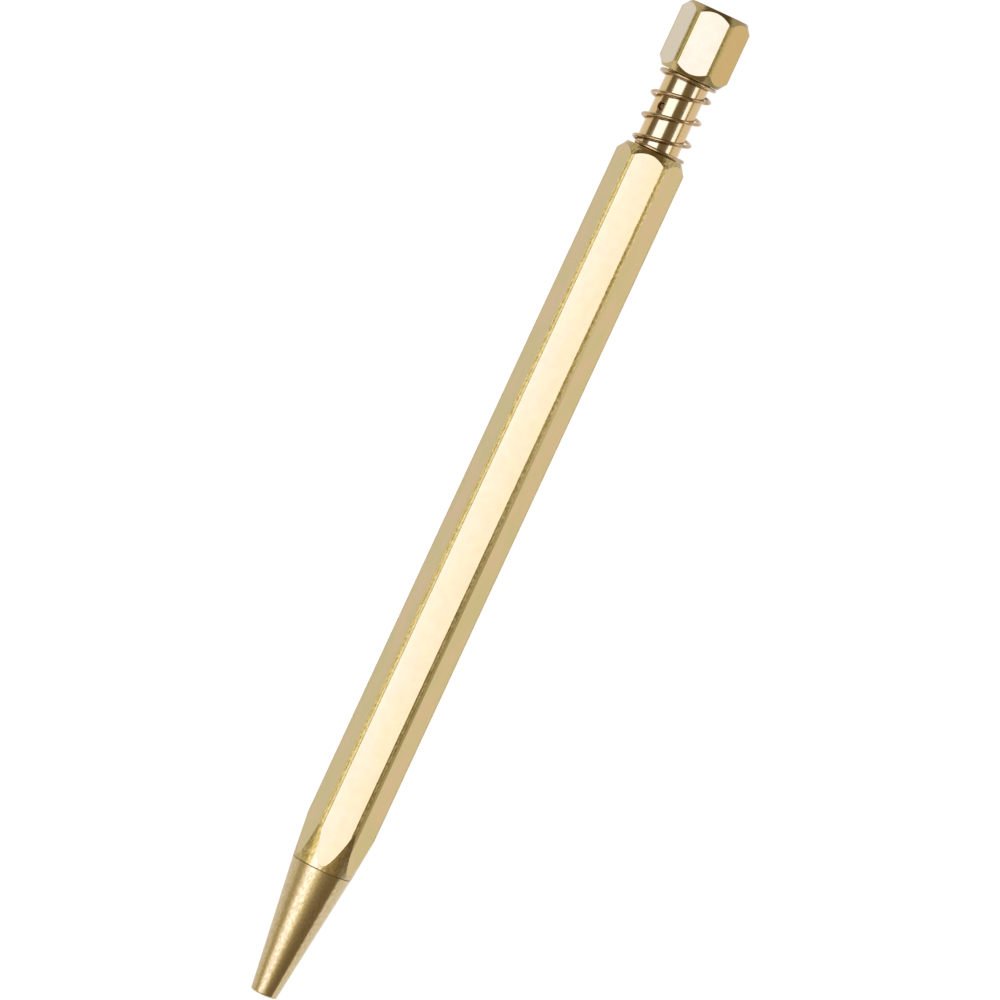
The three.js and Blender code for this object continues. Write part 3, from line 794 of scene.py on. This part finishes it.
def makeBar(name, shape, bore, material, body, node):
    # bar stock that is turned at both ends and bored along its axis
    bar = hexagonBar(name, shape)
    cutWith(bar, turnedEnds(shape), "INTERSECT")
    cutWith(bar, turnPiece("bore", bore, shape["boreSegments"]), "DIFFERENCE")
    smoothBy(bar, shape["smoothAngle"])
    applyModifier(bar, "WEIGHTED_NORMAL", mode="FACE_AREA", weight=100, keep_sharp=True)
    finishPiece(bar, material, body, "brushed_brass", node)


def makeBarrel():
    shape = barrelShape
    mouthRadius = fits["bore"] + shape["threadDepth"]
    threadEnd = barrelAt + shape["threadLength"]
    shoulder = barrelEnd - shape["topWall"]
    hole = fits["tubeRadius"] + fits["slidingGap"] / 2
    bore = [
        (barrelAt - 1, 0), (barrelAt - 1, mouthRadius + shape["mouth"] + 1),
        (barrelAt + shape["mouth"], mouthRadius), (threadEnd, mouthRadius),
        (threadEnd + shape["threadDepth"], fits["bore"]), (shoulder, fits["bore"]),
        (shoulder, hole), (barrelEnd - shape["mouth"], hole),
        (barrelEnd + 1, hole + shape["mouth"] + 1), (barrelEnd + 1, 0),
    ]
    makeBar("barrel_brass", shape, bore, barrelBrass, "barrel", "barrel")


def makeKnob():
    radius = fits["tubeRadius"] + fits["seatGap"]
    bottom = knobAt + knobShape["socketDepth"]
    socket = [(knobAt - 1, 0), (knobAt - 1, radius), (bottom, radius), (bottom, 0)]
    makeBar("knob_brass", knobShape, socket, knobBrass, "plunger", "push_knob")


# Nose cone, with the thread that holds it in the barrel

noseShape = {
    "length": 18.75, "holeRadius": 1.25, "tipRadius": 1.87, "tipRound": 0.3, "rearRadius": 4.235,
    "rearRound": 0.06, "spigotRadius": 3.65, "spigotLead": 0.3, "reliefLength": 0.9, "reliefDepth": 0.3,
    "threadPitch": 0.75, "threadDepth": 0.34, "ringStep": 0.0625, "bore": 3.05, "chamber": 1.95,
    "coneAt": 12.05, "seatAt": 4.5, "segments": 128, "lip": 0.12, "tipSteps": 8, "smoothAngle": 22,
}


def makeNose():
    shape = noseShape
    rear = tipAt + shape["length"]
    slope = (shape["rearRadius"] - shape["tipRadius"]) / shape["length"]
    lip = (tipAt + shape["lip"], shape["holeRadius"])
    profile = [lip, (tipAt, shape["holeRadius"] + shape["lip"])]
    for i in range(shape["tipSteps"] + 1):
        angle = i / shape["tipSteps"] * (math.pi / 2 - math.atan(slope))
        profile.append((
            tipAt + shape["tipRound"] * (1 - math.cos(angle)),
            shape["tipRadius"] - shape["tipRound"] * (1 - math.sin(angle)),
        ))
    profile += roundedCorner(rear, shape["rearRadius"], (1, slope), (0, -1), shape["rearRound"])
    root = shape["spigotRadius"] - shape["reliefDepth"]
    threadStart = rear + shape["reliefLength"]
    profile += [(rear, root), (threadStart - shape["reliefDepth"], root)]
    threadEnd = noseEnd - shape["spigotLead"]
    profile += rings(threadStart, threadEnd, shape["spigotRadius"], shape["ringStep"])
    bore, chamber = shape["bore"], shape["chamber"]
    cone, seat = tipAt + shape["coneAt"], tipAt + shape["seatAt"]
    profile += [
        (noseEnd, shape["spigotRadius"] - shape["spigotLead"]), (noseEnd, bore),
        (cone + 2 * (bore - chamber), bore), (cone, chamber), (seat, chamber),
        (seat, shape["holeRadius"]), lip,
    ]
    piece = turnPiece("nose_brass", profile, shape["segments"])
    cutThread(piece, shape, threadStart - 0.01, threadEnd + 0.01)
    smoothBy(piece, shape["smoothAngle"])
    finishPiece(piece, noseBrass, "nose", "turned_brass", "nose_cone")


# Plunger tube and the pin across it

tubeShape = {
    "collarRadius": 3.4, "collarLength": 1.5, "bore": 2.45, "segments": 128, "corner": 0.05,
    "holeRadius": 0.5, "sinkRadius": 0.58, "sinkDepth": 0.12, "pinAngle": 54,
    "pinRadius": 0.45, "pinRecess": 0.35, "pinDome": 0.12, "drillSegments": 64, "pinSegments": 48,
}


def acrossThePen(piece, place, degrees):
    # stands a turned tool across the pen, at a place on its axis and an angle from +Y towards +Z
    middle = Vector((0, 0, axisHeight * mm))
    turn = Matrix.Rotation(math.radians(degrees), 4, "X") @ Matrix.Rotation(math.pi / 2, 4, "Z")
    piece.matrix_world = (
        Matrix.Translation((place * mm, 0, 0)) @ Matrix.Translation(middle) @ turn
        @ Matrix.Translation(-middle)
    )
    applyPlace(piece)


def makePlungerTube():
    shape = tubeShape
    start, end = span("plunger_tube")
    radius, bore, collar = fits["tubeRadius"], shape["bore"], shape["collarRadius"]
    collarEnd = start + shape["collarLength"]
    piece = turnPiece(
        "plunger_tube_brass",
        [
            (start, bore), (start, collar), (collarEnd, collar), (collarEnd, radius),
            (end, radius), (end, bore), (start, bore),
        ],
        shape["segments"],
    )
    softenCorners(piece, shape["corner"])
    pinAt = sum(span("cross_pin")) / 2
    sink, inner = shape["sinkRadius"] + 1, radius - shape["sinkDepth"]
    drill = turnPiece(
        "drill",
        [(-radius - 1, 0), (-radius - 1, sink), (-inner, shape["holeRadius"]),
         (inner, shape["holeRadius"]), (radius + 1, sink), (radius + 1, 0)],
        shape["drillSegments"],
    )
    acrossThePen(drill, pinAt, shape["pinAngle"])
    cutWith(piece, drill, "DIFFERENCE")
    smoothBy(piece, 22)
    finishPiece(piece, metals["tubeBrass"], "plunger", "polished_brass", "plunger_tube")
    half, dome, pinRadius = radius - shape["pinRecess"], shape["pinDome"], shape["pinRadius"]
    pin = turnPiece(
        "cross_pin_steel",
        [(-half, 0), (-half, pinRadius - dome), (-half + dome, pinRadius), (half - dome, pinRadius),
         (half, pinRadius - dome), (half, 0)],
        shape["pinSegments"],
    )
    acrossThePen(pin, pinAt, shape["pinAngle"])
    smoothBy(pin, 30)
    finishPiece(pin, metals["darkPin"], "plunger", "plain_steel", "cross_pin")


# Springs

plungerSpringShape = {
    "wire": 0.5, "radius": 3.82, "turns": 3.25, "topAngle": 18, "closed": 0.7, "lean": 0.04,
    "narrower": 0.13, "aside": 0.22, "rounding": 0.12, "stepsPerTurn": 72, "sides": 4,
    "smoothAngle": 40,
}
refillSpringShape = {
    "wire": 0.35, "radius": 1.475, "turns": 6.5, "topAngle": 200, "closed": 0.45, "lean": 0.0,
    "narrower": 0.0, "aside": 0.0, "rounding": 0.08, "stepsPerTurn": 64, "sides": 4,
    "smoothAngle": 40,
}


def springPoints(shape, low, high):
    # centre line from the lower end: flat closed coil, even pitch, flat closed coil
    bottom, top = low + shape["wire"] / 2, high - shape["wire"] / 2
    whole = shape["turns"] + 2 * shape["closed"]
    count = round(whole * shape["stepsPerTurn"])
    points = []
    for i in range(count + 1):
        turn = i / count * whole - shape["closed"]
        rise = 0
        for side in (-1, 0, 1):
            rise += min(max((turn + side * shape["rounding"]) / shape["turns"], 0), 1) / 3
        angle = math.radians(shape["topAngle"]) + (turn - shape["turns"]) * 2 * math.pi
        radius = shape["radius"] - shape["narrower"] * (1 - rise)
        y = radius * math.cos(angle) - shape["aside"] * (1 - rise)
        z = radius * math.sin(angle)
        place = bottom + (top - bottom) * rise - shape["lean"] * y * math.sin(math.pi * rise)
        points.append(((place * mm, y * mm, (z + axisHeight) * mm), rise))
    return points


def makeSpring(name, shape, node):
    bpy.ops.curve.primitive_nurbs_path_add(location=(0, 0, 0))
    path = bpy.context.object
    path.name = name
    path.data.splines.clear()
    points = springPoints(shape, *span(node))
    line = path.data.splines.new("POLY")
    line.points.add(len(points) - 1)
    for point, (place, _) in zip(line.points, points):
        point.co = (*place, 1)
    path.data.dimensions = "3D"
    path.data.twist_mode = "MINIMUM"
    path.data.bevel_depth = shape["wire"] / 2 * mm
    path.data.bevel_resolution = shape["sides"]
    path.data.use_fill_caps = True
    makeActive(path)
    bpy.ops.object.convert(target="MESH")
    spring = bpy.context.object
    spring.data.name = name
    smoothBy(spring, shape["smoothAngle"])
    return spring, points


def makePlungerSpring():
    spring, points = makeSpring("plunger_spring_wire", plungerSpringShape, "plunger_spring")
    finishPiece(spring, metals["springWire"], "", "spring_wire", "plunger_spring")
    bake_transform(spring)


def makeRefillSpring():
    low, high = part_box("refill_spring")
    spring, _ = makeSpring("refill_spring_wire", refillSpringShape, "refill_spring")
    finishPiece(spring, metals["drawnSteel"], "nose", "plain_steel", "refill_spring")
    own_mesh(spring)


# Refill

refillShape = {
    "radius": 2.95, "tubeBore": 2.6, "segments": 96, "ballRadius": 0.5, "ballProud": 0.25,
    "rimWall": 0.12, "pointRadius": 1.15, "pointTaper": 2.7, "stemRadius": 0.8, "stemLength": 3,
    "flangeRadius": 1.8, "flangeLength": 2.5, "shoulderLength": 2, "duct": 0.35,
    "crimpAt": 2.2, "crimpReach": 0.2, "crimpDepth": 0.12, "corner": 0.06,
    "lip": (0.35, 0.14), "waist": (0.5, 0.06), "taperEnd": (0.12, 0.08), "ballDivisions": 5,
}


def makeRefill():
    shape, gap = refillShape, fits["seatGap"]
    start, pointEnd = span("refill_point")
    neck, neckEnd = span("refill_neck")
    tubeStart, tubeEnd = span("refill_tube")
    radius, stem, outside = shape["pointRadius"], shape["stemRadius"], shape["radius"]
    rim = shape["ballRadius"] + gap
    rimOutside = rim + shape["rimWall"]
    socketEnd = start + 2 * shape["ballRadius"] - shape["ballProud"] + gap
    taper, (taperEnd, taperStep) = start + shape["pointTaper"], shape["taperEnd"]
    (lipAt, lipHeight), (waistAt, waistHeight) = shape["lip"], shape["waist"]
    point = turnPiece(
        "refill_point_turned",
        [
            (socketEnd, 0), (socketEnd, rim), (start, rim), (start, rimOutside),
            (start + lipAt, rimOutside + lipHeight), (start + waistAt, rimOutside + waistHeight),
            (taper, radius - taperStep), (taper + taperEnd, radius),
            (neck - gap, radius), (neck - gap, stem), (pointEnd, stem), (pointEnd, 0),
        ],
        shape["segments"],
    )
    smoothBy(point, 22)
    finishPiece(point, metals["nickelSilver"], "refill", "nickel_silver", "refill_point")

    ballLow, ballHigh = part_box("refill_ball")
    bpy.ops.mesh.primitive_ico_sphere_add(
        subdivisions=shape["ballDivisions"], radius=shape["ballRadius"] * mm,
        location=(ballLow + ballHigh) / 2,
    )
    ball = bpy.context.object
    ball.name = "refill_ball_hard"
    applyPlace(ball)
    smoothBy(ball, 30)
    finishPiece(ball, metals["hardBall"], "refill", "hard_ball", "refill_ball")

    flangeEnd = tubeStart - gap - shape["shoulderLength"]
    flange, flangeRadius = flangeEnd - shape["flangeLength"], shape["flangeRadius"]
    socket, spigot, duct = stem + gap, shape["tubeBore"] - gap, shape["duct"]
    crimp, reach, ductAt = neck + shape["crimpAt"], shape["crimpReach"], neck + shape["stemLength"]
    neckPiece = turnPiece(
        "refill_neck_turned",
        [
            (neck, socket), (neck, radius), (crimp - reach, radius),
            (crimp, radius - shape["crimpDepth"]), (crimp + reach, radius), (flange, radius),
            (flange, flangeRadius), (flangeEnd, flangeRadius), (tubeStart - gap, outside),
            (tubeStart - gap, spigot), (neckEnd, spigot), (neckEnd, duct), (ductAt, duct),
            (ductAt, socket), (neck, socket),
        ],
        shape["segments"],
    )
    softenCorners(neckPiece, shape["corner"], 2, 30)
    smoothBy(neckPiece, 25)
    finishPiece(neckPiece, metals["nickelSilver"], "refill", "nickel_silver", "refill_neck")

    bore = shape["tubeBore"]
    tube = turnPiece(
        "refill_tube_steel",
        [
            (tubeStart, bore), (tubeStart, outside), (tubeEnd, outside), (tubeEnd, bore),
            (tubeStart, bore),
        ],
        shape["segments"],
    )
    softenCorners(tube, shape["corner"], 3, 30)
    smoothBy(tube, 25)
    finishPiece(tube, metals["drawnSteel"], "refill", "refill_steel", "refill_tube")


makeBarrel()
makeKnob()
print("stage: barrel and knob made")
makeNose()
makePlungerTube()
print("stage: nose cone, plunger tube and pin made")
makePlungerSpring()
makeRefillSpring()
makeRefill()
print("stage: springs and refill made")

# nothing shows these, so they stay as the CAD has them
for node in ("cam_sleeve", "knock_cam", "rotor_cam", "refill_plug"):
    setMaterial(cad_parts[node], plastics["acetal"])
setMaterial(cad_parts["ink_column"], plastics["inkPaste"])


# Floor, lamps and camera

studio = {
    "floorRadius": 6.0, "floorSides": 128, "rimSteps": 10, "rimRise": 0.64, "rimLength": 2.0,
    "floorDrop": 0.02 * mm, "floorColour": (0.86, 0.855, 0.845), "floorPaler": 1.012,
    "floorRoughness": 0.8, "floorSpecular": 0.2, "shownWhite": 0.95, "whiteGlow": 1.04,
    "worldColour": (0.25, 0.195, 0.11), "lampColour": (0.95, 1.0, 1.08), "cameraLean": 2.8,
}
# across: degrees from the camera's direction towards -Y
# along and distance: metres from the pen's middle
lamps = {
    "leftSoftbox": {"across": (-51, -0.5), "along": (-2.4, 2.1), "distance": 3.0, "radiance": 1.62},
    "frontSoftbox": {"across": (-64, -51), "along": (-2.4, -0.65), "distance": 3.0, "radiance": 1.1},
    "rightSoftbox": {"across": (52, 73), "along": (0.03, 0.7), "distance": 0.5, "radiance": 1.62},
}
cameraView = {
    "aim": (1.12, -0.85), "stand": (57.19, -49.32, 1010.0), "imageWidth": 133.7,
    "up": (0.90658, 0.42203, 0.0), "sensor": 36.0, "clip": (0.01, 50),
}


def makeFloor():
    bpy.ops.mesh.primitive_circle_add(
        vertices=studio["floorSides"], radius=studio["floorRadius"], fill_type="NGON",
        location=(0, 0, -studio["floorDrop"]),
    )
    floor = bpy.context.object
    floor.name = "floor"
    applyPlace(floor)
    bpy.ops.object.mode_set(mode="EDIT")
    bpy.ops.mesh.select_mode(type="EDGE")
    selectAll()
    # past the round floor, a rim rises to hide its edge
    radius, risen = studio["floorRadius"], 0
    for step in range(1, studio["rimSteps"] + 1):
        angle = step / studio["rimSteps"] * math.pi / 2
        wider = studio["floorRadius"] + studio["rimLength"] * math.sin(angle)
        height = studio["rimRise"] * (1 - math.cos(angle))
        bpy.ops.mesh.extrude_edges_move()
        bpy.ops.transform.resize(value=(wider / radius, wider / radius, 1), center_override=(0, 0, 0))
        bpy.ops.transform.translate(value=(0, 0, height - risen))
        radius, risen = wider, height
    selectAll()
    bpy.ops.mesh.normals_make_consistent(inside=False)
    bpy.ops.mesh.select_mode(type="VERT")
    bpy.ops.object.mode_set(mode="OBJECT")
    smoothBy(floor, 40)
    material, tree = newMaterial("paleFloor")
    shader = tree.nodes["Principled BSDF"]
    coordinates = addNode(tree, "ShaderNodeTexCoord").outputs["Object"]
    cloudy = noise(tree, coordinates, 3.0, 3.0)
    paler = tuple(min(1, studio["floorPaler"] * c) for c in studio["floorColour"])
    tree.links.new(mixColour(tree, cloudy, studio["floorColour"], paler), shader.inputs["Base Color"])
    shader.inputs["Roughness"].default_value = studio["floorRoughness"]
    shader.inputs["Specular IOR Level"].default_value = studio["floorSpecular"]
    # the camera and the metal see the floor as nearly white, with the pen's shadow on it
    path = addNode(tree, "ShaderNodeLightPath").outputs
    seen = calculate(tree, "MAXIMUM", path["Is Camera Ray"], path["Is Glossy Ray"])
    seen = calculate(tree, "MAXIMUM", seen, path["Is Transmission Ray"])
    share = times(tree, seen, studio["shownWhite"])
    glow = {"Color": (1, 1, 1, 1), "Strength": studio["whiteGlow"]}
    white = addNode(tree, "ShaderNodeEmission", glow)
    blend = addNode(tree, "ShaderNodeMixShader", {0: share, 1: shader.outputs[0], 2: white.outputs[0]})
    tree.links.new(blend.outputs[0], tree.nodes["Material Output"].inputs["Surface"])
    floor.data.materials.append(material)


def makeSoftbox(name, lamp):
    acrossFrom, acrossTo = lamp["across"]
    alongFrom, alongTo = lamp["along"]
    middle = math.radians((acrossFrom + acrossTo) / 2 + studio["cameraLean"])
    width = 2 * lamp["distance"] * math.tan(math.radians((acrossTo - acrossFrom) / 2))
    place = Vector((0, -math.sin(middle), math.cos(middle))) * lamp["distance"]
    place.x = (alongFrom + alongTo) / 2
    bpy.ops.object.light_add(type="AREA", location=place, rotation=(middle, 0, 0))
    light = bpy.context.object
    light.name = name
    light.data.shape = "RECTANGLE"
    light.data.size = alongTo - alongFrom
    light.data.size_y = width
    light.data.color = studio["lampColour"]
    light.data.energy = math.pi * light.data.size * width * lamp["radiance"]
    light.visible_camera = False


def makeWorld():
    world = bpy.data.worlds.new("studioWorld")
    world.use_nodes = True
    tree = world.node_tree
    background = tree.nodes["Background"]
    # the camera sees white above the floor's edge; the metal mirrors the room's shade
    seen = addNode(tree, "ShaderNodeLightPath").outputs["Is Camera Ray"]
    tree.links.new(mixColour(tree, seen, studio["worldColour"], (1, 1, 1)), background.inputs["Color"])
    bpy.context.scene.world = world
    bpy.context.scene.view_settings.view_transform = "Standard"


def makeCamera():
    view = cameraView
    aim = Vector((*view["aim"], axisHeight)) * mm
    stand = Vector((*view["stand"][:2], view["stand"][2] + axisHeight)) * mm
    back = (stand - aim).normalized()
    right = Vector(view["up"]).cross(back).normalized()
    up = back.cross(right)
    bpy.ops.object.camera_add(location=stand)
    camera = bpy.context.object
    camera.name = "photographCamera"
    turn = Matrix((right, up, back)).transposed().to_4x4()
    camera.matrix_world = Matrix.Translation(stand) @ turn
    camera.data.sensor_width = view["sensor"]
    camera.data.lens = view["sensor"] * (stand - aim).length / (view["imageWidth"] * mm)
    camera.data.clip_start, camera.data.clip_end = view["clip"]
    camera.data.dof.use_dof = False
    bpy.context.scene.camera = camera


makeFloor()
for name, lamp in lamps.items():
    makeSoftbox(name, lamp)
makeWorld()
makeCamera()
print("stage: floor, lamps and camera made")
